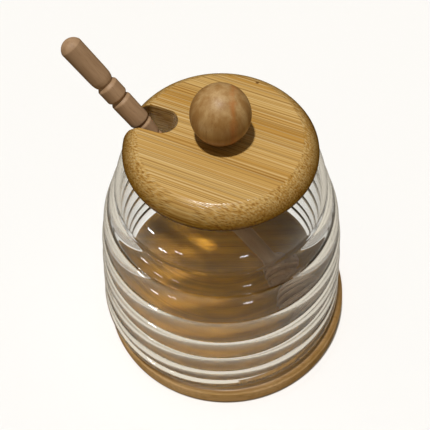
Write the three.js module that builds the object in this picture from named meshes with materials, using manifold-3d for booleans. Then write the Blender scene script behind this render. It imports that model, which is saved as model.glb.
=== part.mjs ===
// Glass honey jar with rounded ribs, standing on a round bamboo base.
// A bamboo lid with an open-ended notch closes the jar's mouth, a wooden ball knob sits on the lid,
// and a turned wooden dipper leans through the notch with its grooved head on the jar's floor.
// Millimetres, +Z up. The origin is the centre of the base's underside.
// The notch opens towards -X, and the dipper lies in the vertical plane through the jar's axis along X.

import * as THREE from 'three';
import { mergeVertices } from 'three/addons/utils/BufferGeometryUtils.js';
import Module from 'manifold-3d';

// Base board
const BASE_RADIUS = 55;
const BASE_THICKNESS = 11.3;
const BASE_EDGE_ROUND = 2.3;
const BASE_SIDES = 64;

// Jar, which stands a little off the middle of the base
const JAR_OFFSET = { x: -1.9, y: -0.7 };
const JAR_HEIGHT = 99;
const JAR_SIDES = 48;
const JAR_FLOOR_THICKNESS = 3;
const MOUTH_OUTER_RADIUS = 34.6;
const MOUTH_INNER_RADIUS = 32.3;
const LIP_ROUND = 0.9;

// Valleys between the ribs, from the foot to the shoulder: radius, then height above the jar's underside
const VALLEYS = [
  [52.9, 10.0], [52.2, 18.2], [51.1, 29.0], [50.0, 41.3], [48.4, 54.8], [44.9, 69.5], [41.6, 78.4],
];
const RIB_BULGES = [0.65, 0.8, 0.9, 0.85, 1.0, 0.6];
const SHOULDER_BULGE = 1.3;
const FOOT_PROFILE = [[0, 0], [49.8, 0], [52.6, 1.6], [53.9, 4.2], [53.9, 6.6]];
// Inside of the jar, from the mouth down to the floor
const INNER_PROFILE = [
  [35.0, 93.3], [37.2, 88.6], [38.7, 83.6], [39.6, 78.4], [42.9, 69.5], [46.4, 54.8], [48.0, 41.3], [49.1, 29.0],
  [50.2, 18.2], [50.8, 4.5], [50.4, 3.4], [49.3, JAR_FLOOR_THICKNESS], [0, JAR_FLOOR_THICKNESS],
];

// Lid
const LID_RADIUS = 36.25;
const LID_THICKNESS = 8.5;
const LID_ROUND_WIDTH = 6.95;
const LID_ROUND_HEIGHT = 8.15;
const LID_SIDES = 64;
// The part of the lid that sits down in the jar's mouth, whose wall shows inside the notch
const PLUG_RADIUS = 31;
const PLUG_DEPTH = 7;
const PLUG_EDGE = 0.6;
const NOTCH_HALF_WIDTH = 5.75;
const NOTCH_END_X = -22.7;
const NOTCH_CORNER_ROUND = 2.5;

// Ball knob on a short round neck
const KNOB_RADIUS = 10.95;
const KNOB_HALF_HEIGHT = 11.35;
const KNOB_CENTRE_HEIGHT = 11.6;
const KNOB_NECK_RADIUS = 4;
const KNOB_SIDES = 32;

// Dipper, measured along its own axis from the end of its head to the end of its handle
const DIPPER_LENGTH = 164.9;
const DIPPER_TILT_DEG = 37.65;
const DIPPER_HEAD_END = { x: 44.46, y: -0.65, z: 17.7 };
const DIPPER_SIDES = 20;
const HEAD_DISC_PITCH = 4.9;
const HEAD_DISC_THICKNESS = 2.9;
const HEAD_CORE_RADIUS = 4.6;
const HEAD_DISC_RADII = [6.0, 8.2, 9.6, 10.0, 9.6, 8.4, 6.4];
const STEM_PROFILE = [[3.1, 37.0], [3.4, 70.0], [3.2, 101.9], [3.0, 113.5]];
// The turned part of the handle: radius, then distance from the end of the head
const HANDLE_PROFILE = [
  [3.1, 113.9], [3.1, 115.3], [2.5, 116.1], [3.0, 117.1], [3.8, 122.6], [3.15, 123.6],
  [4.0, 124.6], [4.1, 135.2], [3.2, 136.3], [4.15, 137.4], [4.15, 142.8], [3.2, 143.9],
  [4.1, 145.0], [4.2, 161.1], [3.85, 162.9], [2.9, 164.1], [1.5, 164.75], [0, DIPPER_LENGTH],
];

const BAMBOO_LID = new THREE.MeshStandardMaterial({ color: 0xbb8f47, roughness: 0.45, metalness: 0 });
const BAMBOO_BASE = new THREE.MeshStandardMaterial({ color: 0xad8152, roughness: 0.5, metalness: 0 });
const BEECH_KNOB = new THREE.MeshStandardMaterial({ color: 0xbe976a, roughness: 0.45, metalness: 0 });
const BEECH_DIPPER = new THREE.MeshStandardMaterial({ color: 0x9a7c60, roughness: 0.55, metalness: 0 });
const CLEAR_GLASS = new THREE.MeshStandardMaterial({
  color: 0xdfe6e6, roughness: 0.04, metalness: 0, transparent: true, opacity: 0.35,
});

const wasm = await Module();
wasm.setup();

// Turns a profile of [radius, height] pairs about the Z axis.
function turned(profile, sides) {
  const points = profile.map(([radius, height]) => new THREE.Vector2(radius, height));
  return new THREE.LatheGeometry(points, sides).rotateX(Math.PI / 2);
}

// Leaves only the positions, with shared corners joined.
function closed(geometry) {
  const plain = geometry.index ? geometry.toNonIndexed() : geometry.clone();
  plain.deleteAttribute('normal');
  plain.deleteAttribute('uv');
  return mergeVertices(plain, 1e-4);
}

// A closed geometry as a solid that can be cut.
function solid(geometry) {
  const merged = closed(geometry);
  return new wasm.Manifold(new wasm.Mesh({
    numProp: 3,
    vertProperties: new Float32Array(merged.attributes.position.array),
    triVerts: new Uint32Array(merged.index.array),
  }));
}

// A cut solid as a geometry again.
function geometryOf(manifold) {
  const mesh = manifold.getMesh();
  const geometry = new THREE.BufferGeometry();
  geometry.setAttribute('position', new THREE.BufferAttribute(new Float32Array(mesh.vertProperties), 3));
  geometry.setIndex(new THREE.BufferAttribute(new Uint32Array(mesh.triVerts), 1));
  geometry.computeVertexNormals();
  return geometry;
}

function mesh(name, geometry, material) {
  const piece = new THREE.Mesh(geometry, material);
  piece.name = name;
  return piece;
}

// Points of a quarter of an ellipse that starts upright at the widest radius and ends level.
function quarterRound(radius, height, width, rise, steps) {
  return Array.from({ length: steps + 1 }, (_, i) => {
    const angle = (i / steps) * (Math.PI / 2);
    return [radius - width + width * Math.cos(angle), height + rise * Math.sin(angle)];
  });
}

// A rib's outer points between two valleys: the chord pushed out by a parabola.
function rib([r0, z0], [r1, z1], bulge, shares) {
  const length = Math.hypot(r1 - r0, z1 - z0);
  const out = [(z1 - z0) / length, -(r1 - r0) / length];
  return shares.map((t) => {
    const push = bulge * 4 * t * (1 - t);
    return [r0 + (r1 - r0) * t + out[0] * push, z0 + (z1 - z0) * t + out[1] * push];
  });
}

function baseProfile() {
  const low = quarterRound(BASE_RADIUS, 0, BASE_EDGE_ROUND, BASE_EDGE_ROUND, 4)
    .map(([r, z]) => [r, BASE_EDGE_ROUND - z]).reverse();
  const high = quarterRound(BASE_RADIUS, BASE_THICKNESS - BASE_EDGE_ROUND, BASE_EDGE_ROUND, BASE_EDGE_ROUND, 4);
  return [[0, 0], ...low, ...high, [0, BASE_THICKNESS]];
}

function jarProfile() {
  const outer = [...FOOT_PROFILE];
  VALLEYS.forEach((valley, i) => {
    outer.push(valley);
    if (i < VALLEYS.length - 1) outer.push(...rib(valley, VALLEYS[i + 1], RIB_BULGES[i], [0.22, 0.5, 0.78]));
  });
  const mouth = [MOUTH_OUTER_RADIUS, JAR_HEIGHT - LIP_ROUND];
  outer.push(...rib(VALLEYS.at(-1), mouth, SHOULDER_BULGE, [0.15, 0.35, 0.6, 0.83]), mouth);
  const lip = [
    [MOUTH_OUTER_RADIUS - LIP_ROUND * 0.7, JAR_HEIGHT], [MOUTH_INNER_RADIUS + LIP_ROUND * 0.7, JAR_HEIGHT],
    [MOUTH_INNER_RADIUS, JAR_HEIGHT - LIP_ROUND],
  ];
  return [...outer, ...lip, ...INNER_PROFILE];
}

// The notch seen from above: straight sides, a round inner end, and corners eased where it meets the rim.
function notchOutline() {
  const round = NOTCH_CORNER_ROUND;
  const centreY = NOTCH_HALF_WIDTH + round;
  const centreX = -Math.sqrt((LID_RADIUS - round) ** 2 - centreY ** 2);
  const rimAngle = Math.atan2(centreY, centreX);
  const outside = LID_RADIUS + 5;
  const outline = new THREE.Shape();
  outline.moveTo(outside * Math.cos(rimAngle), -outside * Math.sin(rimAngle));
  outline.absarc(centreX, -centreY, round, -rimAngle, Math.PI / 2, true);
  outline.absarc(NOTCH_END_X, 0, NOTCH_HALF_WIDTH, -Math.PI / 2, Math.PI / 2, false);
  outline.absarc(centreX, centreY, round, -Math.PI / 2, rimAngle, true);
  outline.lineTo(outside * Math.cos(rimAngle), outside * Math.sin(rimAngle));
  outline.closePath();
  return outline;
}

function lidGeometry() {
  const side = quarterRound(LID_RADIUS, LID_THICKNESS - LID_ROUND_HEIGHT, LID_ROUND_WIDTH, LID_ROUND_HEIGHT, 7);
  const plug = [
    [0, -PLUG_DEPTH], [PLUG_RADIUS - PLUG_EDGE, -PLUG_DEPTH], [PLUG_RADIUS, PLUG_EDGE - PLUG_DEPTH], [PLUG_RADIUS, 0],
  ];
  const disc = turned([...plug, [LID_RADIUS - 0.3, 0], ...side, [0, LID_THICKNESS]], LID_SIDES);
  const slot = new THREE.ExtrudeGeometry(notchOutline(), {
    depth: LID_THICKNESS + PLUG_DEPTH + 4, bevelEnabled: false, curveSegments: 10,
  }).translate(0, 0, -PLUG_DEPTH - 2);
  return geometryOf(solid(disc).subtract(solid(slot)));
}

function knobProfile() {
  const start = -Math.acos(KNOB_NECK_RADIUS / KNOB_RADIUS);
  const ball = Array.from({ length: 14 }, (_, i) => {
    const angle = start + (i / 13) * (Math.PI / 2 - start);
    return [KNOB_RADIUS * Math.cos(angle), KNOB_CENTRE_HEIGHT + KNOB_HALF_HEIGHT * Math.sin(angle)];
  });
  ball[ball.length - 1][0] = 0;
  return [[0, 0], [KNOB_NECK_RADIUS, 0], ...ball];
}

function dipperProfile() {
  const head = [[0, 0]];
  HEAD_DISC_RADII.forEach((radius, i) => {
    const low = i * HEAD_DISC_PITCH;
    const high = low + HEAD_DISC_THICKNESS;
    const inner = i === 0 ? radius - 1.6 : HEAD_CORE_RADIUS;
    head.push([inner, low], [radius, low + 0.7], [radius, high - 0.4], [HEAD_CORE_RADIUS, high]);
  });
  return [...head, ...STEM_PROFILE, ...HANDLE_PROFILE];
}

const base = mesh('base', closed(turned(baseProfile(), BASE_SIDES)), BAMBOO_BASE);

const jar = mesh('jar', closed(turned(jarProfile(), JAR_SIDES)), CLEAR_GLASS);

const lid = mesh('lid', lidGeometry(), BAMBOO_LID);
lid.position.z = JAR_HEIGHT;

const knob = mesh('knob', closed(turned(knobProfile(), KNOB_SIDES)), BEECH_KNOB);
knob.position.z = JAR_HEIGHT + LID_THICKNESS;

const dipper = mesh('dipper', closed(turned(dipperProfile(), DIPPER_SIDES)), BEECH_DIPPER);
dipper.position.set(DIPPER_HEAD_END.x, DIPPER_HEAD_END.y, DIPPER_HEAD_END.z - BASE_THICKNESS);
dipper.rotation.y = -THREE.MathUtils.degToRad(DIPPER_TILT_DEG);

// Everything that stands on the base shares the jar's axis.
const onBase = new THREE.Group();
onBase.position.set(JAR_OFFSET.x, JAR_OFFSET.y, BASE_THICKNESS);
onBase.add(jar, lid, knob, dipper);

const honeyJar = new THREE.Group();
honeyJar.name = 'honey_jar';
honeyJar.add(base, onBase);

export default honeyJar;
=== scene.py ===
"""Glass honey jar on a bamboo base, with a notched bamboo lid, a ball knob and a turned dipper.

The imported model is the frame. Each piece made here is a finer surface in the place of one of its nodes.
"""

import logging
import math
from dataclasses import dataclass
from enum import Enum

import bpy
import numpy as np
from mathutils import Matrix, Vector


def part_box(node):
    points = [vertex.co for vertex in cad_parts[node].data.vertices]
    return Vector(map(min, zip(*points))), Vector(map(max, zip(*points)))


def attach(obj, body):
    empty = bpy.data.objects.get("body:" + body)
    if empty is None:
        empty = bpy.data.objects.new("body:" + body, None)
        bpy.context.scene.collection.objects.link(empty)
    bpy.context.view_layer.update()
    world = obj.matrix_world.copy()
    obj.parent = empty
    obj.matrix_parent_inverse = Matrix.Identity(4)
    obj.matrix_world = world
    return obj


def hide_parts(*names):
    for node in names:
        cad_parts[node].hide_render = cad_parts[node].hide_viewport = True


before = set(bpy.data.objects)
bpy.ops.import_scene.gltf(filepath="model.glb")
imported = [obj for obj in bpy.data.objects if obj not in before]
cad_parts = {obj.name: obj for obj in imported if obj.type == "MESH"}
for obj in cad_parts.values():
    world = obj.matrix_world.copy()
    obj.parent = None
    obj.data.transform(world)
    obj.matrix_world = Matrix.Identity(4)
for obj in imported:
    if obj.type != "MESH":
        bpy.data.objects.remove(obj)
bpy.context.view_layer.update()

MM = 0.001
BODY = "root"
PICTURE_SIDE = 430
SENSOR_WIDTH = 36.0
BELL_REACH = 3.0

Pair = tuple[float, float]
Triple = tuple[float, float, float]
Colour = tuple[float, float, float, float]
Socket = bpy.types.NodeSocket

log = logging.getLogger("honey_jar")


def linear(red: int, green: int, blue: int) -> Colour:
    """Scene-linear colour of an sRGB colour given as 0 to 255.

    Args:
        red: Red, 0 to 255.
        green: Green, 0 to 255.
        blue: Blue, 0 to 255.

    Returns:
        The colour as red, green, blue and alpha.
    """
    share = np.array([red, green, blue]) / 255.0
    value = np.where(share <= 0.04045, share / 12.92, ((share + 0.055) / 1.055) ** 2.4)
    return (float(value[0]), float(value[1]), float(value[2]), 1.0)


def arc(centre: Pair, radii: Pair, start: float, end: float, steps: int) -> np.ndarray:
    """Points of an ellipse arc: centre plus the radii times cosine and sine of the angle.

    Args:
        centre: Middle of the ellipse.
        radii: Its two half-axes.
        start: First angle in degrees.
        end: Last angle in degrees.
        steps: Number of stretches between the points.

    Returns:
        An array of steps + 1 points.
    """
    angle = np.radians(np.linspace(start, end, steps + 1))
    return np.column_stack([centre[0] + radii[0] * np.cos(angle), centre[1] + radii[1] * np.sin(angle)])


def bulged(first: np.ndarray, last: np.ndarray, push: float, steps: int) -> np.ndarray:
    """Points of a chord pushed out by a parabola, to the right of its direction in radius and height.

    Args:
        first: Start of the chord.
        last: End of the chord.
        push: How far its middle is pushed out.
        steps: Number of stretches.

    Returns:
        An array of steps + 1 points.
    """
    share = np.linspace(0.0, 1.0, steps + 1)[:, None]
    along = last - first
    out = np.array([along[1], -along[0]]) / np.hypot(*along)
    return first + along * share + out * (4.0 * push * share * (1.0 - share))


def eased(profile: np.ndarray, spacing: float, reach: float) -> np.ndarray:
    """A profile with its corners rounded: even steps along it, then a weighted mean of the neighbours.

    Args:
        profile: Points in order.
        spacing: Distance between the new points.
        reach: Width of the bell of weights.

    Returns:
        The new points, with the same two ends.
    """
    step = np.hypot(*np.diff(profile, axis=0).T)
    along = np.concatenate([[0.0], np.cumsum(step)])
    count = int(round(along[-1] / spacing)) + 1
    even = np.linspace(0.0, along[-1], count)
    points = np.column_stack([np.interp(even, along, profile[:, k]) for k in range(2)])
    half = max(1, int(round(BELL_REACH * reach / spacing)))
    bell = np.exp(-0.5 * (np.arange(-half, half + 1) * spacing / reach) ** 2)
    bell /= bell.sum()
    before = 2.0 * points[0] - points[half:0:-1]
    after = 2.0 * points[-1] - points[-2:-half - 2:-1]
    padded = np.vstack([before, points, after])
    return np.column_stack([np.convolve(padded[:, k], bell, mode="valid") for k in range(2)])


def turned(profile: np.ndarray, sides: int) -> np.ndarray:
    """Rings of a turned shape: each profile point swept round the Z axis.

    Args:
        profile: Radius and height of each ring, from pole to pole.
        sides: Number of points in a ring.

    Returns:
        An array of rings by sides by 3.
    """
    angle = np.linspace(0.0, 2.0 * math.pi, sides, endpoint=False)
    radius, height = profile[:, :1], profile[:, 1:]
    flat = np.zeros_like(angle)
    return np.stack([radius * np.cos(angle), radius * np.sin(angle), height + flat], axis=-1)


def make_piece(name: str, rings: np.ndarray, sharp_above: float = 50.0) -> bpy.types.Object:
    """A closed mesh object from stacked rings, in metres.

    The first and the last ring are poles, kept as one vertex each. Between two rings each face joins
    a point, its neighbour round the ring, and the two points above them.

    Args:
        name: Name of the piece.
        rings: Array of rings by points by 3.
        sharp_above: Edges that turn by more than this many degrees stay sharp.

    Returns:
        The new object, linked to the scene.
    """
    count, sides = rings.shape[0] - 2, rings.shape[1]
    vertices = np.vstack([rings[0, :1], rings[1:-1].reshape(-1, 3), rings[-1, :1]])
    here = np.arange(sides)
    beside = (here + 1) % sides
    low = 1 + sides * np.arange(count - 1)[:, None]
    high = low + sides
    quads = np.stack([low + here, low + beside, high + beside, high + here], axis=-1).reshape(-1, 4)
    top = 1 + sides * (count - 1)
    first = np.column_stack([np.zeros_like(here), 1 + beside, 1 + here])
    last = np.column_stack([top + here, top + beside, np.full_like(here, len(vertices) - 1)])
    mesh = bpy.data.meshes.new(name)
    mesh.from_pydata(vertices.tolist(), [], quads.tolist() + first.tolist() + last.tolist())
    mesh.validate()
    mesh.polygons.foreach_set("use_smooth", np.ones(len(mesh.polygons), dtype=bool))
    mesh.set_sharp_from_angle(angle=math.radians(sharp_above))
    mesh.update()
    piece = bpy.data.objects.new(name, mesh)
    bpy.context.scene.collection.objects.link(piece)
    return piece


class Sheet:
    """A node tree with short calls that add and join nodes."""

    def __init__(self, tree: bpy.types.NodeTree) -> None:
        """Works on one node tree."""
        self.tree = tree

    def link(self, source: Socket, target: Socket) -> None:
        """Feeds one socket from another."""
        self.tree.links.new(source, target)

    def add(self, kind: str, values: dict | None = None, **settings: object) -> bpy.types.Node:
        """Adds a node.

        Args:
            kind: Blender's name of the node type.
            values: Input name or number to a socket that feeds it or a plain value.
            settings: Properties of the node.

        Returns:
            The node.
        """
        node = self.tree.nodes.new(kind)
        for key, value in settings.items():
            setattr(node, key, value)
        for key, value in (values or {}).items():
            if isinstance(value, Socket):
                self.link(value, node.inputs[key])
            else:
                node.inputs[key].default_value = value
        return node

    def math(self, operation: str, *terms: object) -> Socket:
        """The result of a Math node on up to three terms."""
        return self.add("ShaderNodeMath", dict(enumerate(terms)), operation=operation).outputs[0]

    def vector(self, operation: str, values: dict, result: str = "Vector") -> Socket:
        """The named result of a Vector Math node."""
        return self.add("ShaderNodeVectorMath", values, operation=operation).outputs[result]

    def spread(self, value: Socket, low: object, high: object, to_low: float, to_high: float) -> Socket:
        """A value moved evenly from one range to another and kept inside it.

        Args:
            value: The socket to read.
            low: Start of the range that is read.
            high: End of the range that is read.
            to_low: What the start becomes.
            to_high: What the end becomes.

        Returns:
            The result socket.
        """
        names = ("Value", "From Min", "From Max", "To Min", "To Max")
        node = self.add("ShaderNodeMapRange", dict(zip(names, (value, low, high, to_low, to_high))))
        return node.outputs["Result"]

    def blend(self, share: object, first: object, second: object, mode: str = "MIX") -> Socket:
        """Two colours mixed by a share.

        Args:
            share: How much of the second colour, 0 to 1.
            first: The colour at 0.
            second: The colour at 1.
            mode: How they are mixed.

        Returns:
            The result socket.
        """
        values = {0: share, 6: first, 7: second}
        return self.add("ShaderNodeMix", values, data_type="RGBA", blend_type=mode).outputs[2]

    def noise(self, where: Socket, detail: float, roughness: float = 0.5) -> Socket:
        """The value of a Noise Texture at a position."""
        values = {"Vector": where, "Scale": 1.0, "Detail": detail, "Roughness": roughness}
        return self.add("ShaderNodeTexNoise", values).outputs["Fac"]

    def stretched(self, where: Socket, scale: Triple) -> Socket:
        """A position multiplied along each axis."""
        return self.vector("MULTIPLY", {0: where, 1: scale})

    def group(self, tree: bpy.types.NodeTree, values: dict) -> bpy.types.Node:
        """Places a node group, with its input names to sockets or plain values."""
        return self.add("ShaderNodeGroup", values, node_tree=tree)

    def fibres(self, rotation: Triple) -> tuple[Socket, Socket]:
        """Object position, and the same turned so that X runs along the fibres."""
        place = self.add("ShaderNodeTexCoord").outputs["Object"]
        return place, self.add("ShaderNodeMapping", {"Vector": place, "Rotation": rotation}).outputs[0]


def new_material(name: str) -> tuple[bpy.types.Material, Sheet, bpy.types.Node]:
    """Makes a plain material.

    Args:
        name: Its name.

    Returns:
        The material, its sheet and its Principled shader.
    """
    material = bpy.data.materials.new(name)
    material.use_nodes = True
    return material, Sheet(material.node_tree), material.node_tree.nodes["Principled BSDF"]


def drawn_out(fibre: Socket, scales: Pair) -> dict:
    """Inputs of a group that is drawn out along the fibres, from its scales across and along them."""
    return {"Position": fibre, "Across": scales[0], "Along": scales[1]}


@dataclass
class GrainGroups:
    """The shader node groups that the woods share, each built once.

    In every group X runs along the fibres and positions are in metres. Limits are the two values of the
    noise or slope between which an effect grows.
    """

    finer: Triple = (2.4, 3.1, 3.1)
    finer_roughness: float = 0.6
    bundle_drift: Triple = (16.0, 70.0, 70.0)
    bundle_disorder: float = 0.7
    bundle_core: float = 0.45
    bundle_faintest: float = 0.5
    pore_limits: Pair = (0.60, 0.74)
    upright_limits: Pair = (0.95, 0.05)

    def __post_init__(self) -> None:
        """Builds the groups."""
        self.streaks = self._streaks()
        self.bundles = self._bundles()
        self.pores = self._pores()
        self.upright = self._upright()

    @staticmethod
    def _start(
        name: str, place: str, numbers: tuple[str, ...], outputs: tuple[str, ...],
    ) -> tuple[Sheet, dict[str, Socket], bpy.types.Node]:
        """Makes an empty group with named sockets.

        Args:
            name: Name of the group.
            place: Name of the position or direction that it reads.
            numbers: Names of the numbers that it reads.
            outputs: Names of the outputs.

        Returns:
            The group's sheet, its input sockets by name, and its output node.
        """
        tree = bpy.data.node_groups.new(name, "ShaderNodeTree")
        tree.interface.new_socket(name=place, in_out="INPUT", socket_type="NodeSocketVector")
        for key in numbers:
            tree.interface.new_socket(name=key, in_out="INPUT", socket_type="NodeSocketFloat")
        for key in outputs:
            tree.interface.new_socket(name=key, in_out="OUTPUT", socket_type="NodeSocketFloat")
        sheet = Sheet(tree)
        source = sheet.add("NodeGroupInput")
        return sheet, {key: source.outputs[key] for key in (place, *numbers)}, sheet.add("NodeGroupOutput")

    @staticmethod
    def _scaled(sheet: Sheet, given: dict[str, Socket]) -> Socket:
        """The group's position with X times Along, and Y and Z times Across."""
        size = {0: given["Along"], 1: given["Across"], 2: given["Across"]}
        return sheet.stretched(given["Position"], sheet.add("ShaderNodeCombineXYZ", size).outputs[0])

    def _streaks(self) -> bpy.types.NodeTree:
        """Long soft stripes: noise drawn out along X, a broad one and a finer one.

        Returns:
            The group.
        """
        sheet, given, out = self._start("long_streaks", "Position", ("Across", "Along"), ("Broad", "Fine"))
        place = self._scaled(sheet, given)
        sheet.link(sheet.noise(place, 2.0), out.inputs["Broad"])
        finer = sheet.stretched(place, self.finer)
        sheet.link(sheet.noise(finer, 2.0, self.finer_roughness), out.inputs["Fine"])
        return sheet.tree

    def _bundles(self) -> bpy.types.NodeTree:
        """Fibre bundles: flat cells across the grain that run on along X and wander a little.

        A bundle is the middle of a cell, so it is a dot on end grain and a line along the grain.

        Returns:
            The group.
        """
        sheet, given, out = self._start("fibre_bundles", "Position", ("Spacing", "Size", "Wander"), ("Mask",))
        place = given["Position"]
        drift = {"Vector": sheet.stretched(place, self.bundle_drift), "Scale": 1.0, "Detail": 1.0}
        noise = sheet.add("ShaderNodeTexNoise", drift).outputs["Color"]
        wander = sheet.vector("SCALE", {0: noise, "Scale": given["Wander"]})
        spaced = sheet.vector("SCALE", {0: place, "Scale": given["Spacing"]})
        part = sheet.add("ShaderNodeSeparateXYZ", {0: sheet.vector("ADD", {0: spaced, 1: wander})})
        flat = sheet.add("ShaderNodeCombineXYZ", {0: part.outputs[1], 1: part.outputs[2]}).outputs[0]
        layout = {"Vector": flat, "Scale": 1.0, "Randomness": self.bundle_disorder}
        cells = sheet.add("ShaderNodeTexVoronoi", layout, voronoi_dimensions="2D")
        edge = sheet.math("MULTIPLY", given["Size"], self.bundle_core)
        core = sheet.spread(cells.outputs["Distance"], edge, given["Size"], 1.0, 0.0)
        tone = sheet.add("ShaderNodeSeparateColor", {0: cells.outputs["Color"]}).outputs[0]
        mask = sheet.math("MULTIPLY", core, sheet.spread(tone, 0.0, 1.0, self.bundle_faintest, 1.0))
        sheet.link(mask, out.inputs["Mask"])
        return sheet.tree

    def _pores(self) -> bpy.types.NodeTree:
        """Short fine dashes along X, where drawn-out noise passes a height.

        Returns:
            The group.
        """
        sheet, given, out = self._start("fine_pores", "Position", ("Across", "Along"), ("Mask",))
        noise = sheet.noise(self._scaled(sheet, given), 1.0)
        sheet.link(sheet.spread(noise, *self.pore_limits, 0.0, 1.0), out.inputs["Mask"])
        return sheet.tree

    def _upright(self) -> bpy.types.NodeTree:
        """How upright the surface stands: 0 where its normal points up, 1 where that is level or points down.

        Returns:
            The group.
        """
        sheet, given, out = self._start("upright_share", "Normal", (), ("Share",))
        slope = sheet.add("ShaderNodeSeparateXYZ", {0: given["Normal"]}).outputs[2]
        sheet.link(sheet.spread(slope, *self.upright_limits, 0.0, 1.0), out.inputs["Share"])
        return sheet.tree

    def steepness(self, sheet: Sheet) -> Socket:
        """How upright the surface stands, in a material."""
        normal = sheet.add("ShaderNodeNewGeometry").outputs["Normal"]
        return sheet.group(self.upright, {"Normal": normal}).outputs["Share"]


@dataclass(frozen=True)
class Touch:
    """How a wood's surface feels: its roughness, how that varies with the fine streaks, and its bump."""

    roughness: float
    less: float
    more: float
    strength: float
    depth: float
    limits: Pair = (0.3, 0.7)

    def apply(self, sheet: Sheet, shader: bpy.types.Node, fine: Socket, height: Socket) -> None:
        """Feeds the shader's roughness and normal.

        Args:
            sheet: The material's sheet.
            shader: Its shader.
            fine: The fine streaks.
            height: The height of the bump.
        """
        ends = (self.roughness - self.less, self.roughness + self.more)
        sheet.link(sheet.spread(fine, *self.limits, *ends), shader.inputs["Roughness"])
        values = {"Strength": self.strength, "Distance": self.depth, "Height": height}
        sheet.link(sheet.add("ShaderNodeBump", values).outputs[0], shader.inputs["Normal"])


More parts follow.
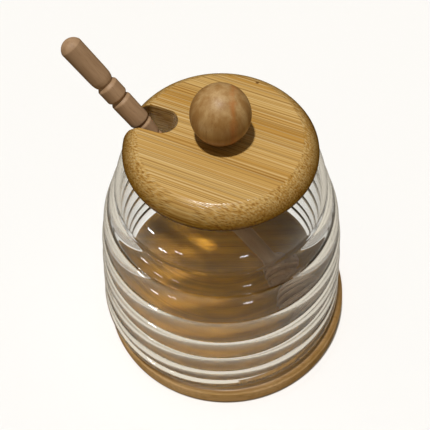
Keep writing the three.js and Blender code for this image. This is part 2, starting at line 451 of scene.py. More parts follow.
@dataclass(frozen=True)
class BambooFinish:
    """Oiled bamboo: glued strips of differing tone, fine straight lines, dark fibre bundles.

    The fibres run at turn_deg from +X, level. Farther than rim_from from the upright axis through
    axis_spot, the colour is multiplied by a painted side shading where the surface stands upright, fully from
    the second share in steep and not at all below the first: painted shade on the lid's rounded edge, painted
    light on the base's side. Scales are per metre, across the fibres and along them.
    Limits are the two values of the noise between which an effect grows.
    """

    name: str
    cream: Colour
    pale: Colour
    warm: Colour
    brown: Colour
    bundle: Colour
    turn_deg: float
    axis_spot: Pair
    rim_from: float
    painted_side_shading: Colour
    steep: Pair
    touch: Touch
    gloss: float
    contrast: float
    knot_spot: Pair = (0.0, 0.0)
    knot_radius: float = 0.0
    knot_core: float = 0.4
    # Under the jar: a yellower, brighter tone that is painted light, lighter in the middle and darker towards
    # the edge as painted light and shade.
    under_jar_painted_light: Triple = (1.0, 1.0, 1.0)
    under_jar_radius: float = 0.0
    under_jar_edge: float = 1.5 * MM
    under_jar_turn: Pair = (0.45, 0.85)
    painted_light_and_shade_tones: Pair = (1.15, 0.45)
    cloud_scale: Triple = (70.0, 110.0, 110.0)
    cloud_limits: Pair = (0.36, 0.66)
    cloud_tones: Pair = (0.82, 1.12)
    line_scales: Pair = (1600.0, 5.0)
    strip_scales: Pair = (170.0, 1.2)
    strip_limits: Pair = (0.40, 0.62)
    light_limits: Pair = (0.48, 0.38)
    dark_limits: Pair = (0.54, 0.66)
    line_height: float = 0.6
    rod_spacing: float = 1350.0
    rod_size: float = 0.34
    rod_wander: float = 0.4
    rod_share: float = 0.62
    rim_blend: float = 2.0 * MM

    @staticmethod
    def _reach(sheet: Sheet, place: Socket, spot: Pair) -> Socket:
        """Level distance of a position from a spot."""
        moved = sheet.vector("SUBTRACT", {0: place, 1: (*spot, 0.0)})
        return sheet.vector("LENGTH", {0: sheet.stretched(moved, (1.0, 1.0, 0.0))}, "Value")

    def _painted_under_jar(self, sheet: Sheet, place: Socket, reach: Socket, colour: Socket) -> Socket:
        """The colour multiplied in a circle round the axis, where the jar always covers the wood, by a
        yellower and brighter tone that is painted light.

        It is lighter in the middle, as painted light where the lid's shadow falls, and darker towards its
        edge as painted shade by the jar's foot, with cloudy patches of painted light like light focused by
        the glass.

        Args:
            sheet: The material's sheet.
            place: Object position.
            reach: Distance from the axis.
            colour: The wood's colour.

        Returns:
            The new colour.
        """
        share = sheet.spread(reach, self.under_jar_radius - self.under_jar_edge, self.under_jar_radius, 1.0, 0.0)
        # Cloudy patches of painted light, like light focused by the glass.
        noise = sheet.noise(sheet.stretched(place, self.cloud_scale), 2.0)
        cloud = sheet.spread(noise, *self.cloud_limits, *self.cloud_tones)
        ends = (part * self.under_jar_radius for part in self.under_jar_turn)
        inner = sheet.spread(reach, *ends, *self.painted_light_and_shade_tones)
        deep = sheet.vector("SCALE", {0: self.under_jar_painted_light, "Scale": sheet.math("MULTIPLY", cloud, inner)})
        return sheet.blend(share, colour, deep, "MULTIPLY")

    def material(self, groups: GrainGroups) -> bpy.types.Material:
        """Builds the material.

        Args:
            groups: The shared grain groups.

        Returns:
            The material.
        """
        material, sheet, shader = new_material(self.name)
        shader.inputs["Specular IOR Level"].default_value = self.gloss
        place, fibre = sheet.fibres((0.0, 0.0, -math.radians(self.turn_deg)))
        lines = sheet.group(groups.streaks, drawn_out(fibre, self.line_scales))
        strips = sheet.group(groups.streaks, drawn_out(fibre, self.strip_scales))
        rods = {"Spacing": self.rod_spacing, "Size": self.rod_size, "Wander": self.rod_wander}
        mask = sheet.group(groups.bundles, {"Position": fibre, **rods}).outputs["Mask"]
        strip = sheet.spread(strips.outputs["Broad"], *self.strip_limits, 0.0, 1.0)
        colour = sheet.blend(strip, self.pale, self.warm)
        light = sheet.spread(lines.outputs["Broad"], *self.light_limits, 0.0, self.contrast)
        colour = sheet.blend(light, colour, self.cream)
        dark = sheet.spread(lines.outputs["Broad"], *self.dark_limits, 0.0, self.contrast)
        colour = sheet.blend(dark, colour, self.brown)
        dots = sheet.math("MULTIPLY", mask, self.rod_share * self.contrast)
        colour = sheet.blend(dots, colour, self.bundle)
        reach = self._reach(sheet, place, self.axis_spot)
        # Painted shade on the lid's steep rounded edge and painted light on the base's upright side: the
        # colour is multiplied by the side shading there.
        rim = sheet.spread(reach, self.rim_from, self.rim_from + self.rim_blend, 0.0, 1.0)
        steep = sheet.spread(groups.steepness(sheet), *self.steep, 0.0, 1.0)
        colour = sheet.blend(sheet.math("MULTIPLY", rim, steep), colour, self.painted_side_shading, "MULTIPLY")
        if self.knot_radius:
            away = self._reach(sheet, place, self.knot_spot)
            knot = sheet.spread(away, self.knot_core * self.knot_radius, self.knot_radius, 1.0, 0.0)
            colour = sheet.blend(knot, colour, self.bundle)
        # Under the jar: painted light and shade in a yellower tone.
        if self.under_jar_radius:
            colour = self._painted_under_jar(sheet, place, reach, colour)
        sheet.link(colour, shader.inputs["Base Color"])
        fine = lines.outputs["Fine"]
        height = sheet.math("SUBTRACT", sheet.math("MULTIPLY", fine, self.line_height), mask)
        self.touch.apply(sheet, shader, fine, height)
        return material


@dataclass(frozen=True)
class BeechFinish:
    """Sanded beech: soft growth bands, faint warm streaks and fine short pores.

    The fibres run in the upright plane of X, raised by tilt_deg from +X. Where the surface stands upright
    or faces down, the colour is multiplied by a painted side shading: painted shade. Scales and limits are as
    for the bamboo.
    """

    name: str
    pale: Colour
    warm: Colour
    pore: Colour
    tilt_deg: float
    painted_side_shading: Colour
    band_scales: Pair
    touch: Touch
    gloss: float = 0.3
    band_limits: Pair = (0.40, 0.66)
    fine_limits: Pair = (0.42, 0.70)
    fine_share: float = 0.45
    pore_scales: Pair = (3200.0, 260.0)
    pore_share: float = 0.40
    heart: Colour = (0.0, 0.0, 0.0, 1.0)
    heart_spot: Pair = (0.0, 0.0)
    heart_bearing_deg: float = 0.0
    heart_width: float = 0.0
    heart_share: float = 0.8
    heart_reach: Pair = (1.0, 2.2)
    ragged: float = 2.4
    ragged_scale: Triple = (420.0, 420.0, 90.0)

    def _hearted(self, sheet: Sheet, place: Socket, colour: Socket) -> Socket:
        """The colour with an upright, ragged band of heartwood through the spot, square to the bearing.

        Args:
            sheet: The material's sheet.
            place: Object position.
            colour: The wood's colour.

        Returns:
            The new colour.
        """
        bearing = math.radians(self.heart_bearing_deg)
        way = (math.cos(bearing), math.sin(bearing), 0.0)
        moved = sheet.vector("SUBTRACT", {0: place, 1: (*self.heart_spot, 0.0)})
        off = sheet.math("ABSOLUTE", sheet.vector("DOT_PRODUCT", {0: moved, 1: way}, "Value"))
        noise = sheet.noise(sheet.stretched(place, self.ragged_scale), 2.0)
        edge = sheet.math("MULTIPLY_ADD", noise, self.ragged * self.heart_width, off)
        ends = (part * self.heart_width for part in self.heart_reach)
        return sheet.blend(sheet.spread(edge, *ends, self.heart_share, 0.0), colour, self.heart)

    def material(self, groups: GrainGroups) -> bpy.types.Material:
        """Builds the material.

        Args:
            groups: The shared grain groups.

        Returns:
            The material.
        """
        material, sheet, shader = new_material(self.name)
        shader.inputs["Specular IOR Level"].default_value = self.gloss
        place, fibre = sheet.fibres((0.0, math.radians(self.tilt_deg), 0.0))
        bands = sheet.group(groups.streaks, drawn_out(fibre, self.band_scales))
        pores = sheet.group(groups.pores, drawn_out(fibre, self.pore_scales)).outputs["Mask"]
        fine = bands.outputs["Fine"]
        band = sheet.spread(bands.outputs["Broad"], *self.band_limits, 0.0, 1.0)
        colour = sheet.blend(band, self.pale, self.warm)
        colour = sheet.blend(sheet.spread(fine, *self.fine_limits, 0.0, self.fine_share), colour, self.warm)
        if self.heart_width:
            colour = self._hearted(sheet, place, colour)
        colour = sheet.blend(sheet.math("MULTIPLY", pores, self.pore_share), colour, self.pore)
        # Painted shade on the upright and downward faces: the colour is multiplied by the side shading.
        colour = sheet.blend(groups.steepness(sheet), colour, self.painted_side_shading, "MULTIPLY")
        sheet.link(colour, shader.inputs["Base Color"])
        self.touch.apply(sheet, shader, fine, sheet.math("MULTIPLY", pores, -1.0))
        return material


@dataclass(frozen=True)
class GlassFinish:
    """Clear glass, coated for light that meets it from the air, that passes a share of the lamps' light."""

    name: str
    tint: Colour
    lamp_share: Colour
    gloss: Colour
    ior: float = 1.5
    skin: float = 0.8
    skin_roughness: float = 0.08

    def material(self) -> bpy.types.Material:
        """Builds the material.

        Returns:
            The material.
        """
        material, sheet, shader = new_material(self.name)
        plain = {
            "Base Color": self.tint, "Roughness": 0.0, "IOR": self.ior, "Specular Tint": self.gloss,
            "Coat Roughness": self.skin_roughness, "Transmission Weight": 1.0,
        }
        for key, value in plain.items():
            shader.inputs[key].default_value = value
        inside = sheet.add("ShaderNodeNewGeometry").outputs["Backfacing"]
        sheet.link(sheet.math("MULTIPLY_ADD", inside, -self.skin, self.skin), shader.inputs["Coat Weight"])
        clear = sheet.add("ShaderNodeBsdfTransparent", {"Color": self.lamp_share}).outputs[0]
        shadow = sheet.add("ShaderNodeLightPath").outputs["Is Shadow Ray"]
        chosen = sheet.add("ShaderNodeMixShader", {0: shadow, 1: shader.outputs[0], 2: clear}).outputs[0]
        sheet.link(chosen, material.node_tree.nodes["Material Output"].inputs["Surface"])
        return material


class Node(Enum):
    """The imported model's nodes, each with its material slot."""

    BASE = ("base", "bamboo_base")
    JAR = ("jar", "clear_glass")
    LID = ("lid", "bamboo_lid")
    KNOB = ("knob", "beech_knob")
    DIPPER = ("dipper", "beech_dipper")

    def box(self) -> tuple[Vector, Vector]:
        """The node's lowest and highest corners, in metres."""
        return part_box(self.value[0])

    def foot(self) -> np.ndarray:
        """The middle of the bottom of the node's box, in metres. For the jar it lies on the axis."""
        low, high = self.box()
        return np.array([(low.x + high.x) / 2.0, (low.y + high.y) / 2.0, low.z])

    def replace(self, piece: bpy.types.Object, material: bpy.types.Material) -> None:
        """Dresses a piece and puts it in the node's place.

        Args:
            piece: The finer surface.
            material: Its finish.
        """
        piece.data.materials.append(material)
        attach(piece, BODY)
        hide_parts(self.value[0])
        log.info("%s stands for node %s with %d faces", piece.name, self.value[0], len(piece.data.polygons))


@dataclass
class Base:
    """The round bamboo board under the jar. Sizes in millimetres."""

    edge_round: float = 2.3
    edge_steps: int = 12
    flat_rings: int = 13
    sides: int = 256

    def build(self) -> bpy.types.Object:
        """A turned board: flat underside, rounded lower edge, upright side, rounded upper edge, flat top.

        Returns:
            The piece.
        """
        low, high = Node.BASE.box()
        radius = (high.x - low.x) / 2.0 / MM
        thick = (high.z - low.z) / MM
        soft = self.edge_round
        inner = radius - soft
        flat = np.linspace(0.0, inner, self.flat_rings + 1)[:-1]
        profile = np.vstack([
            np.column_stack([flat, np.zeros_like(flat)]),
            arc((inner, soft), (soft, soft), -90.0, 0.0, self.edge_steps),
            arc((inner, thick - soft), (soft, soft), 0.0, 90.0, self.edge_steps),
            np.column_stack([flat[::-1], np.full_like(flat, thick)]),
        ])
        return make_piece("bamboo_base_board", turned(profile, self.sides) * MM + Node.BASE.foot())


@dataclass
class Jar:
    """The ribbed glass jar. Sizes in millimetres, heights above its underside, drops below its rim."""

    valleys: tuple[Pair, ...] = (
        (52.9, 10.0), (52.2, 18.2), (51.1, 29.0), (50.0, 41.3), (48.4, 54.8), (44.9, 69.5), (41.6, 78.4),
    )
    rib_bulges: tuple[float, ...] = (0.65, 0.8, 0.9, 0.85, 1.0, 0.6)
    shoulder_bulge: float = 1.3
    foot_radius: float = 48.0
    foot_widest: Pair = (53.95, 5.4)
    foot_bulge: float = 0.35
    mouth_outer: float = 34.6
    mouth_inner: float = 32.3
    outer_drop: float = 0.9
    inner_drop: float = 1.2
    lip_drop: float = 1.0
    lip_rise: float = 0.98
    wall: float = 2.0
    floor_thickness: float = 3.0
    floor_corner: float = 1.5
    floor_flare: float = 0.6
    floor_bulge: float = 0.3
    hollow_under: float = 1.4
    foot_ring: float = 1.5
    sink: float = 0.03
    rib_ease: float = 0.32
    spacing: float = 0.35
    rib_steps: int = 24
    shoulder_steps: int = 40
    round_steps: int = 16
    foot_steps: int = 8
    under_rings: int = 10
    floor_rings: int = 12
    sides: int = 160

    def _outer(self, height: float) -> np.ndarray:
        """Outer profile from the foot to the mouth: foot curve, ribs between valleys, shoulder.

        Args:
            height: The jar's height.

        Returns:
            The points.
        """
        valleys = [np.array(point) for point in self.valleys]
        widest = np.array(self.foot_widest)
        mouth = np.array([self.mouth_outer, height - self.outer_drop])
        foot_radii = (widest[0] - self.foot_radius, widest[1])
        ribs = zip(valleys, valleys[1:], self.rib_bulges)
        return np.vstack([
            arc((self.foot_radius, widest[1]), foot_radii, -90.0, 0.0, self.round_steps),
            bulged(widest, valleys[0], self.foot_bulge, self.foot_steps)[1:],
            *(bulged(low, high, push, self.rib_steps)[1:] for low, high, push in ribs),
            bulged(valleys[-1], mouth, self.shoulder_bulge, self.shoulder_steps)[1:],
        ])

    def _inner(self, height: float) -> np.ndarray:
        """Inner profile from the mouth to the floor: shoulder, straight wall from valley to valley, corner.

        Args:
            height: The jar's height.

        Returns:
            The points.
        """
        inside = np.array(self.valleys[1:]) - np.array([self.wall, 0.0])
        mouth = np.array([self.mouth_inner, height - self.inner_drop])
        corner = self.floor_corner
        floor = np.array([inside[0, 0] + self.floor_flare, self.floor_thickness + corner])
        return np.vstack([
            bulged(inside[-1], mouth, self.shoulder_bulge, self.shoulder_steps)[::-1],
            inside[-2:0:-1],
            bulged(floor, inside[0], self.floor_bulge, self.foot_steps)[::-1],
            arc((floor[0] - corner, floor[1]), (corner, corner), 0.0, -90.0, self.round_steps)[1:],
        ])

    def build(self) -> bpy.types.Object:
        """A turned shell: hollowed underside, outer profile, rounded lip, inner profile, floor.

        Returns:
            The piece.
        """
        low, high = Node.JAR.box()
        height = (high.z - low.z) / MM
        lip_middle = ((self.mouth_outer + self.mouth_inner) / 2.0, height - self.lip_drop)
        lip_radii = ((self.mouth_outer - self.mouth_inner) / 2.0, self.lip_rise)
        lip = arc(lip_middle, lip_radii, 0.0, 180.0, self.round_steps)
        wall = eased(np.vstack([self._outer(height), lip, self._inner(height)]), self.spacing, self.rib_ease)
        hollow_radius = wall[0, 0] - self.foot_ring
        under = np.linspace(0.0, hollow_radius, self.under_rings)
        hollow = self.hollow_under * (1.0 - (under / hollow_radius) ** 2)
        floor = np.linspace(wall[-1, 0], 0.0, self.floor_rings)[1:]
        profile = np.vstack([
            np.column_stack([under, hollow]),
            wall,
            np.column_stack([floor, np.full_like(floor, wall[-1, 1])]),
        ])
        profile[:, 1] -= self.sink
        return make_piece("glass_jar", turned(profile, self.sides) * MM + Node.JAR.foot())


@dataclass
class Lid:
    """The bamboo lid with its open-ended notch towards -X. Sizes in millimetres.

    The last fields, from end_steps on, place the rows and columns of the mesh.
    """

    round_width: float = 6.35
    round_slopes_deg: Pair = (25.0, 62.0)
    crease_round: float = 0.4
    notch_half_width: float = 5.75
    notch_end: float = 22.7
    corner_round: float = 2.5
    notch_edge_ease: float = 0.45
    under_round: float = 1.8
    side_band: float = 0.1
    least_side: float = 0.02
    plug_radius: float = 31.0
    plug_edge: float = 0.6
    hub: float = 12.0
    end_steps: int = 40
    side_steps: int = 30
    corner_steps: int = 16
    rim_steps: int = 240
    hub_angles_deg: tuple[float, ...] = (0.0, 32.0, 42.0, 46.0, 180.0)
    hub_shares: Triple = (0.0, 0.5, 1.0)
    plug_shares: Pair = (0.35, 0.7)
    plug_levels: Triple = (1.0, 0.66, 0.33)
    ease_angles_deg: Triple = (22.0, 45.0, 68.0)
    side_rows: int = 8
    round_from_deg: float = 4.0
    round_rows: int = 26
    level_rows: int = 9

    @staticmethod
    def _inward(path: np.ndarray) -> np.ndarray:
        """Directions square to a closed plan path: the way between a point's neighbours, a quarter turn left.

        Args:
            path: The points in order.

        Returns:
            A unit direction for each point.
        """
        along = np.roll(path, -1, axis=0) - np.roll(path, 1, axis=0)
        along /= np.hypot(along[:, 0], along[:, 1])[:, None]
        return np.column_stack([-along[:, 1], along[:, 0]])

    def _notch_side(self, end: float) -> np.ndarray:
        """Points along one straight side of the notch, from its round end to a distance from the axis."""
        along = np.linspace(self.notch_end, end, self.side_steps + 1)[1:]
        return np.column_stack([along, np.full_like(along, self.notch_half_width)])

    def _outline(self, radius: float) -> tuple[np.ndarray, np.ndarray, np.ndarray, np.ndarray]:
        """The plan outline, going round anticlockwise from the middle of the notch's round end.

        The plug below the lid has the same notch in a smaller circle, with a point for each of the lid's.
        Each point has an angle on the hub circle under the knob that it is joined to, measured from -X,
        and a share that is 1 on the notch's sides and 0 on the rim.

        Args:
            radius: The lid's radius.

        Returns:
            The lid's points, the plug's, the hub angles and the notch shares of one half, from the notch's
            end to +X.
        """
        half, soft = self.notch_half_width, self.corner_round
        middle_y = half + soft
        middle_x = math.sqrt((radius - soft) ** 2 - middle_y ** 2)
        rim = math.degrees(math.atan2(middle_y, middle_x))
        end = arc((self.notch_end, 0.0), (half, half), 180.0, 90.0, self.end_steps)
        points = np.vstack([
            end,
            self._notch_side(middle_x),
            arc((middle_x, middle_y), (soft, soft), -90.0, rim, self.corner_steps)[1:],
            arc((0.0, 0.0), (radius, radius), rim, 180.0, self.rim_steps)[1:],
        ])
        plug_end = math.sqrt(self.plug_radius ** 2 - half ** 2)
        plug_angle = math.degrees(math.atan2(half, plug_end))
        plug_radii = (self.plug_radius, self.plug_radius)
        plug_rim = arc((0.0, 0.0), plug_radii, plug_angle, 180.0, self.corner_steps + self.rim_steps)[1:]
        plug = np.vstack([end, self._notch_side(plug_end), plug_rim])
        steps = (self.end_steps, self.side_steps, self.corner_steps, self.rim_steps)
        stretches = zip(self.hub_angles_deg, self.hub_angles_deg[1:], steps)
        angles = [np.linspace(first, last, count + 1)[1:] for first, last, count in stretches]
        shares = np.concatenate([
            np.ones(1 + self.end_steps + self.side_steps),
            np.linspace(1.0, 0.0, self.corner_steps + 1)[1:],
            np.zeros(self.rim_steps),
        ])
        return points, plug, np.concatenate([self.hub_angles_deg[:1], *angles]), shares

    def _top(self, reach: np.ndarray, radius: float, thick: float) -> np.ndarray:
        """Height of the top at distances from the axis.

        It is level in the middle. From a crease it falls along an arc whose slope grows from the first of
        the round's slopes to the second, and then along a smaller arc that ends upright at the rim.

        Args:
            reach: Distances from the axis.
            radius: The lid's radius.
            thick: Height of the level middle.

        Returns:
            The heights.
        """
        first, last = np.radians(self.round_slopes_deg)
        soft = self.under_round
        start = radius - self.round_width
        bend = (radius - soft * (1.0 - math.sin(last)) - start) / (math.sin(last) - math.sin(first))
        sine = np.clip(math.sin(first) + (reach - start) / bend, math.sin(first), math.sin(last))
        edge = np.clip((reach - radius + soft) / soft, math.sin(last), 1.0)
        fall = bend * (math.cos(first) - np.sqrt(1.0 - sine ** 2))
        return thick - fall - soft * (math.cos(last) - np.sqrt(1.0 - edge ** 2))

    def build(self) -> bpy.types.Object:
        """A profile carried round the lid's outline.

        At each outline point it runs from the middle of the plug's underside out to the plug's edge, up its
        side, out under the lid, up the lid's side, over the edge and in along the top to the middle.

        Returns:
            The piece.
        """
        low, high = Node.LID.box()
        rim = Node.JAR.box()[1].z
        axis = Node.JAR.foot()
        radius = (high.x - axis[0]) / MM
        thick = (high.z - rim) / MM
        deep = (rim - low.z) / MM
        points, plug_points, angles, shares = self._outline(radius)
        mirrored = slice(-2, 0, -1)
        flip = np.array([1.0, -1.0])
        path = np.vstack([points, points[mirrored] * flip])
        plug = np.vstack([plug_points, plug_points[mirrored] * flip])
        turn = np.radians(np.concatenate([angles, -angles[mirrored]]))
        share = np.concatenate([shares, shares[mirrored]])
        hub = self.hub * np.column_stack([np.cos(turn), np.sin(turn)])
        inward, plug_inward = self._inward(path), self._inward(plug)

        def top(where: np.ndarray) -> np.ndarray:
            """Height of the top at plan positions, before the notch's edge is eased."""
            return self._top(np.hypot(where[..., 0], where[..., 1]), radius, thick)

        def row(plan: np.ndarray, height: np.ndarray | float) -> np.ndarray:
            """One row of points from plan positions and a height."""
            return np.column_stack([plan, np.broadcast_to(height, len(plan))])

        ease = self.notch_edge_ease * share
        start = path + inward * ease[:, None]
        crest = top(start)
        side_foot = float(self._top(np.array(radius), radius, thick)) - self.side_band
        side_top = np.maximum(crest - ease, side_foot + self.least_side)
        reach = radius - self.hub
        round_angles = np.radians(np.linspace(self.round_from_deg, 90.0, self.round_rows))
        rounding = self.round_width * (1.0 - np.cos(round_angles))
        level = np.linspace(self.round_width + self.crease_round, reach, self.level_rows)
        rows = [row(hub * part, -deep) for part in self.hub_shares]
        rows += [row(hub + (plug - hub) * part, -deep) for part in self.plug_shares]
        rows += [row(plug + plug_inward * self.plug_edge, -deep)]
        rows += [row(plug, -part * (deep - self.plug_edge)) for part in self.plug_levels]
        rows += [row(plug, -self.plug_edge * share)]
        for angle in np.radians(np.linspace(90.0, 0.0, self.side_rows)):
            tuck = self.under_round * (1.0 - math.cos(angle)) * (1.0 - share)
            rows += [row(path + inward * tuck[:, None], side_foot * (1.0 - math.sin(angle)))]
        for part in np.linspace(0.0, 1.0, self.side_rows)[1:]:
            rows += [row(path, side_foot + (side_top - side_foot) * part)]
        for angle in np.radians(self.ease_angles_deg):
            back = ease * (1.0 - math.cos(angle))
            rows += [row(path + inward * back[:, None], side_top + (crest - side_top) * math.sin(angle))]
        for part in np.concatenate([rounding, level]) / reach:
            plan = start + (hub - start) * part
            rows += [row(plan, top(plan))]
        rows += [row(hub * part, thick) for part in self.hub_shares[-2::-1]]
        rings = np.stack(rows) * np.array([-1.0, -1.0, 1.0]) * MM
        rings += np.array([axis[0], axis[1], rim])
        return make_piece("bamboo_lid", rings, sharp_above=60.0)


@dataclass
class Knob:
    """The wooden ball on the lid. Sizes in millimetres, heights above the lid."""

    centre_height: float = 11.6
    half_height: float = 11.35
    neck_radius: float = 4.0
    ball_steps: int = 80
    sides: int = 160

    def build(self) -> bpy.types.Object:
        """A turned ball, a little taller than wide, on a short round neck.

        Returns:
            The piece.
        """
        low, high = Node.KNOB.box()
        radius = (high.x - low.x) / 2.0 / MM
        start = -math.degrees(math.acos(self.neck_radius / radius))
        ball = arc((0.0, self.centre_height), (radius, self.half_height), start, 90.0, self.ball_steps)
        ball[-1, 0] = 0.0
        neck = np.array([[0.0, 0.0], [self.neck_radius / 2.0, 0.0], [self.neck_radius, 0.0]])
        profile = np.vstack([neck, ball])
        return make_piece("ball_knob", turned(profile, self.sides) * MM + Node.KNOB.foot())


@dataclass
class Dipper:
    """The turned dipper. Sizes in millimetres along its own axis from the end of its head.

    The stem's points are radius and distance: the stem, then the handle with its grooves.
    """

    length: float = 164.9
    tilt_deg: float = 37.65
    head_end: Triple = (44.46, -0.65, 6.4)
    disc_pitch: float = 4.9
    disc_thickness: float = 2.9
    core_radius: float = 4.6
    disc_radii: tuple[float, ...] = (6.0, 8.2, 9.6, 10.0, 9.6, 8.4, 6.4)
    stem: tuple[Pair, ...] = (
        (3.6, 34.6), (3.1, 37.0), (3.4, 70.0), (3.2, 101.9), (3.0, 113.5), (3.1, 113.9), (3.1, 115.3),
        (2.5, 116.1), (3.0, 117.1), (3.8, 122.6), (3.15, 123.6), (4.0, 124.6), (4.1, 135.2), (3.2, 136.3),
        (4.15, 137.4), (4.15, 142.8), (3.2, 143.9), (3.75, 144.9), (4.05, 146.5), (4.12, 148.9), (4.2, 162.0),
    )
    stem_spacing: float = 0.15
    stem_ease: float = 0.22
    disc_steps: int = 14
    dome_steps: int = 20
    sides: int = 96

    def _profile(self) -> np.ndarray:
        """Head discs with rounded rims, stem, and handle with its grooves and domed end.

        Returns:
            Radius and distance of each ring.
        """
        soft = self.disc_thickness / 2.0
        parts = [np.array([[0.0, 0.0]])]
        for number, radius in enumerate(self.disc_radii):
            middle = number * self.disc_pitch + soft
            if number:
                parts.append(np.array([[self.core_radius, middle - soft]]))
            parts.append(arc((radius - soft, middle), (soft, soft), -90.0, 90.0, self.disc_steps))
            parts.append(np.array([[self.core_radius, middle + soft]]))
        parts.append(eased(np.array(self.stem), self.stem_spacing, self.stem_ease))
        edge, dome_from = self.stem[-1]
        rise = self.length - dome_from
        ball = (edge ** 2 + rise ** 2) / (2.0 * rise)
        start = math.degrees(math.acos(edge / ball))
        dome = arc((0.0, self.length - ball), (ball, ball), start, 90.0, self.dome_steps)[1:]
        dome[-1, 0] = 0.0
        return np.vstack([*parts, dome])

    def build(self) -> bpy.types.Object:
        """The turned profile, leaned over about Y, with its head's end put in its place in the jar.

        Returns:
            The piece.
        """
        spot = Vector(Node.JAR.foot()) + Vector(self.head_end) * MM
        lean = Matrix.Rotation(-math.radians(self.tilt_deg), 4, "Y")
        place = np.array(Matrix.Translation(spot) @ lean)
        rings = turned(self._profile(), self.sides) * MM @ place[:3, :3].T + place[:3, 3]
        return make_piece("turned_dipper", rings, sharp_above=18.0)


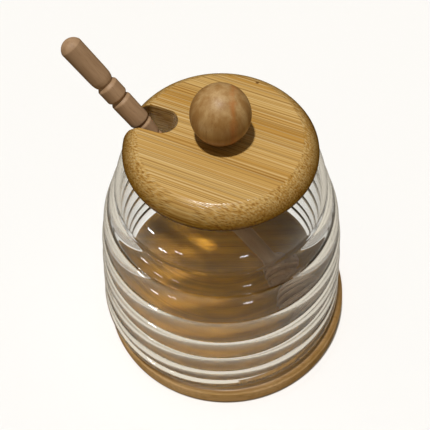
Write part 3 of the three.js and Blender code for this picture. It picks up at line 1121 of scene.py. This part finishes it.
@dataclass
class Studio:
    """Floor, light and camera. Sizes in metres.

    The sky's levels are the height of a direction, -1 to 1, and its brightness there. Each glint is its
    bearing from the camera's and its rise, in degrees, and its power in watts.
    """

    floor_side: float = 40.0
    floor_colour: Colour = (0.86, 0.86, 0.86, 1.0)
    floor_mirrored: Colour = (0.69, 0.65, 0.57, 1.0)
    floor_bounce: Colour = (0.34, 0.27, 0.17, 1.0)
    floor_roughness: float = 0.9
    floor_gloss: float = 0.1
    sky_tint: Triple = (1.0, 0.88, 0.66)
    sky_levels: tuple[Pair, ...] = ((-0.1, 0.0), (-0.02, 0.1), (0.12, 0.06), (0.62, 0.16), (1.0, 0.34))
    table_mirrored: Colour = (0.66, 0.6, 0.5, 1.0)
    mirrored_to: float = 0.3
    backdrop: Colour = (0.97, 0.96, 0.92, 1.0)
    key_strength: float = 3.0
    key_spread_deg: float = 3.5
    key_from: Triple = (-0.085, -0.133, 0.988)
    glints: tuple[Triple, ...] = (
        (-54.0, -27.0, 0.2), (20.0, -17.0, 0.2), (-66.0, -15.0, 0.3), (-38.0, -20.0, 0.12),
    )
    glint_far: float = 1.0
    glint_size: Pair = (0.11, 0.025)
    glass_bounces: int = 64
    clear_bounces: int = 32
    brightest_bounce: float = 6.0
    camera_azimuth_deg: float = 19.5
    camera_back: float = 0.18568
    camera_height: float = 0.34145
    camera_pitch_deg: float = 55.815
    camera_yaw_deg: float = -0.766
    camera_roll_deg: float = -0.911
    camera_near: float = 0.01
    focal_pixels: float = 800.0

    def floor(self) -> None:
        """A large plain pale floor, dimmer mirrored in the glass and for the light it sends back."""
        half = self.floor_side / 2.0
        mesh = bpy.data.meshes.new("studio_floor")
        corners = [(-half, -half, 0.0), (half, -half, 0.0), (half, half, 0.0), (-half, half, 0.0)]
        mesh.from_pydata(corners, [], [(0, 1, 2, 3)])
        floor = bpy.data.objects.new("studio_floor", mesh)
        bpy.context.scene.collection.objects.link(floor)
        material, sheet, shader = new_material("pale_floor")
        path = sheet.add("ShaderNodeLightPath")
        seen = sheet.blend(path.outputs["Glossy Depth"], self.floor_colour, self.floor_mirrored)
        seen = sheet.blend(path.outputs["Diffuse Depth"], seen, self.floor_bounce)
        sheet.link(seen, shader.inputs["Base Color"])
        shader.inputs["Roughness"].default_value = self.floor_roughness
        shader.inputs["Specular IOR Level"].default_value = self.floor_gloss
        mesh.materials.append(material)
        floor.visible_glossy = False
        floor.visible_shadow = False

    def _surround(self) -> None:
        """A soft surround, dim at the horizon and bright overhead.

        Below and just above the horizon it is paler for rays that left clear glass. The camera itself
        sees a plain pale backdrop.
        """
        world = bpy.data.worlds.new("studio_surround")
        bpy.context.scene.world = world
        world.use_nodes = True
        sheet = Sheet(world.node_tree)
        direction = sheet.add("ShaderNodeTexCoord").outputs["Generated"]
        rise = sheet.add("ShaderNodeSeparateXYZ", {0: direction}).outputs[2]
        ramp = sheet.add("ShaderNodeValToRGB", {0: sheet.math("MULTIPLY_ADD", rise, 0.5, 0.5)})
        stops = ramp.color_ramp.elements
        while len(stops) < len(self.sky_levels):
            stops.new(0.5)
        for stop, (place, level) in zip(stops, self.sky_levels):
            stop.position = 0.5 * place + 0.5
            stop.color = (*(level * share for share in self.sky_tint), 1.0)
        low = sheet.spread(rise, 0.0, self.mirrored_to, 1.0, 0.0)
        path = sheet.add("ShaderNodeLightPath")
        mirrored = sheet.math("MULTIPLY", low, path.outputs["Is Singular Ray"])
        seen = sheet.blend(mirrored, ramp.outputs[0], self.table_mirrored)
        seen = sheet.blend(path.outputs["Is Camera Ray"], seen, self.backdrop)
        sheet.link(seen, world.node_tree.nodes["Background"].inputs["Color"])

    def light(self) -> None:
        """The surround, a lamp from nearly straight above, the glints, and how far light is followed."""
        self._surround()
        scene = bpy.context.scene
        key = bpy.data.lights.new("soft_key", "SUN")
        key.energy = self.key_strength
        key.angle = math.radians(self.key_spread_deg)
        lamp = bpy.data.objects.new("soft_key", key)
        lamp.rotation_euler = Vector(self.key_from).to_track_quat("Z", "Y").to_euler()
        scene.collection.objects.link(lamp)
        for number, glint in enumerate(self.glints):
            self._glint(f"glint_{number}", *glint)
        scene.view_settings.view_transform = "Standard"
        scene.cycles.max_bounces = self.glass_bounces
        scene.cycles.transmission_bounces = self.glass_bounces
        scene.cycles.transparent_max_bounces = self.clear_bounces
        scene.cycles.sample_clamp_indirect = self.brightest_bounce

    def _glint(self, name: str, turn_deg: float, rise_deg: float, power: float) -> None:
        """A small window of light that shows only in gloss, or its mirror image in a polished table.

        Args:
            name: Name of the lamp.
            turn_deg: Its bearing from the camera's, to the right as the camera sees it.
            rise_deg: Its height above the horizon, or below it for a mirror image.
            power: Its strength in watts.
        """
        light = bpy.data.lights.new(name, "AREA")
        light.shape = "RECTANGLE"
        light.size, light.size_y = self.glint_size
        light.energy = power
        bearing = math.radians(self.camera_azimuth_deg + turn_deg)
        rise = math.radians(rise_deg)
        level = math.cos(rise)
        way = Vector((math.sin(bearing) * level, -math.cos(bearing) * level, math.sin(rise)))
        lamp = bpy.data.objects.new(name, light)
        lamp.location = way * self.glint_far
        lamp.rotation_euler = way.to_track_quat("Z", "Y").to_euler()
        lamp.visible_diffuse = False
        lamp.visible_transmission = False
        lamp.visible_camera = False
        bpy.context.scene.collection.objects.link(lamp)

    def camera(self) -> None:
        """The camera where the photograph was taken from, looking down at the jar."""
        azimuth = math.radians(self.camera_azimuth_deg)
        axis = Node.JAR.foot()
        data = bpy.data.cameras.new("studio_camera")
        data.sensor_width = SENSOR_WIDTH
        data.lens = SENSOR_WIDTH * self.focal_pixels / PICTURE_SIDE
        data.clip_start = self.camera_near
        camera = bpy.data.objects.new("studio_camera", data)
        spot = Vector((
            axis[0] + self.camera_back * math.sin(azimuth),
            axis[1] - self.camera_back * math.cos(azimuth),
            self.camera_height,
        ))
        heading = Matrix.Rotation(azimuth - math.radians(self.camera_yaw_deg), 4, "Z")
        nod = Matrix.Rotation(math.radians(90.0 - self.camera_pitch_deg), 4, "X")
        roll = Matrix.Rotation(math.radians(self.camera_roll_deg), 4, "Z")
        camera.matrix_world = Matrix.Translation(spot) @ heading @ nod @ roll
        bpy.context.scene.collection.objects.link(camera)
        bpy.context.scene.camera = camera


def finishes(groups: GrainGroups, dipper: Dipper) -> dict[Node, bpy.types.Material]:
    """One material for each node.

    Args:
        groups: The shared grain groups.
        dipper: The dipper, whose grain follows its own axis.

    Returns:
        Node to material.
    """
    axis = tuple(Node.JAR.foot()[:2])
    lid_wood = BambooFinish(
        "bamboo_lid_finish",
        cream=linear(206, 177, 124), pale=linear(194, 158, 95), warm=linear(179, 135, 64),
        brown=linear(142, 96, 35), bundle=linear(108, 74, 30),
        # The side multiplier here darkens the lid's steep rounded edge: painted shade.
        turn_deg=-4.3, axis_spot=axis, rim_from=29.0 * MM, painted_side_shading=(0.36, 0.28, 0.1, 1.0), steep=(0.1, 0.5),
        touch=Touch(roughness=0.25, less=0.08, more=0.1, strength=0.22, depth=0.25 * MM),
        gloss=0.3, contrast=0.8, knot_spot=(2.6 * MM, 28.6 * MM), knot_radius=0.9 * MM,
    )
    base_wood = BambooFinish(
        "bamboo_base_finish",
        cream=linear(159, 128, 83), pale=linear(154, 118, 70), warm=linear(141, 104, 53),
        brown=linear(116, 80, 34), bundle=linear(87, 56, 24),
        # The side multiplier here lightens the base's upright side: painted light.
        turn_deg=20.0, axis_spot=axis, rim_from=50.0 * MM, painted_side_shading=(2.9, 3.4, 4.8, 1.0), steep=(0.28, 0.85),
        touch=Touch(roughness=0.34, less=0.08, more=0.1, strength=0.22, depth=0.25 * MM),
        # The tone under the jar is yellower and brightened as painted light where the jar covers the board.
        gloss=0.5, contrast=0.45, under_jar_painted_light=(2.42, 2.05, 0.39), under_jar_radius=53.2 * MM,
    )
    knob_wood = BeechFinish(
        "beech_knob_finish",
        pale=linear(184, 151, 104), warm=linear(156, 117, 68), pore=linear(120, 86, 46),
        # The side multiplier here darkens the knob's sides and underside: painted shade.
        tilt_deg=90.0, painted_side_shading=(0.82, 0.73, 0.52, 1.0), band_scales=(330.0, 26.0),
        touch=Touch(roughness=0.45, less=0.04, more=0.06, strength=0.15, depth=0.2 * MM),
        heart=linear(172, 110, 54), heart_spot=(axis[0] + 4.0 * MM, axis[1] + 1.4 * MM),
        heart_bearing_deg=19.5, heart_width=1.5 * MM,
    )
    dipper_wood = BeechFinish(
        "beech_dipper_finish",
        pale=linear(171, 139, 107), warm=linear(157, 125, 93), pore=linear(114, 86, 60),
        tilt_deg=90.0 + dipper.tilt_deg, painted_side_shading=(1.0, 1.0, 1.0, 1.0), band_scales=(520.0, 60.0),
        touch=Touch(roughness=0.58, less=0.04, more=0.06, strength=0.15, depth=0.2 * MM),
    )
    glass = GlassFinish(
        "clear_glass_finish",
        tint=(0.97, 0.97, 0.955, 1.0), lamp_share=(0.43, 0.43, 0.42, 1.0), gloss=(0.05, 0.04, 0.03, 1.0),
    )
    return {
        Node.LID: lid_wood.material(groups),
        Node.BASE: base_wood.material(groups),
        Node.KNOB: knob_wood.material(groups),
        Node.DIPPER: dipper_wood.material(groups),
        Node.JAR: glass.material(),
    }


def main() -> None:
    """Builds the pieces in order, then the studio round them."""
    logging.basicConfig(level=logging.INFO, format="%(message)s")
    dipper = Dipper()
    materials = finishes(GrainGroups(), dipper)
    makers = {Node.BASE: Base(), Node.JAR: Jar(), Node.LID: Lid(), Node.KNOB: Knob(), Node.DIPPER: dipper}
    for node, maker in makers.items():
        node.replace(maker.build(), materials[node])
    studio = Studio()
    studio.floor()
    studio.light()
    studio.camera()


if __name__ == "__main__":
    main()
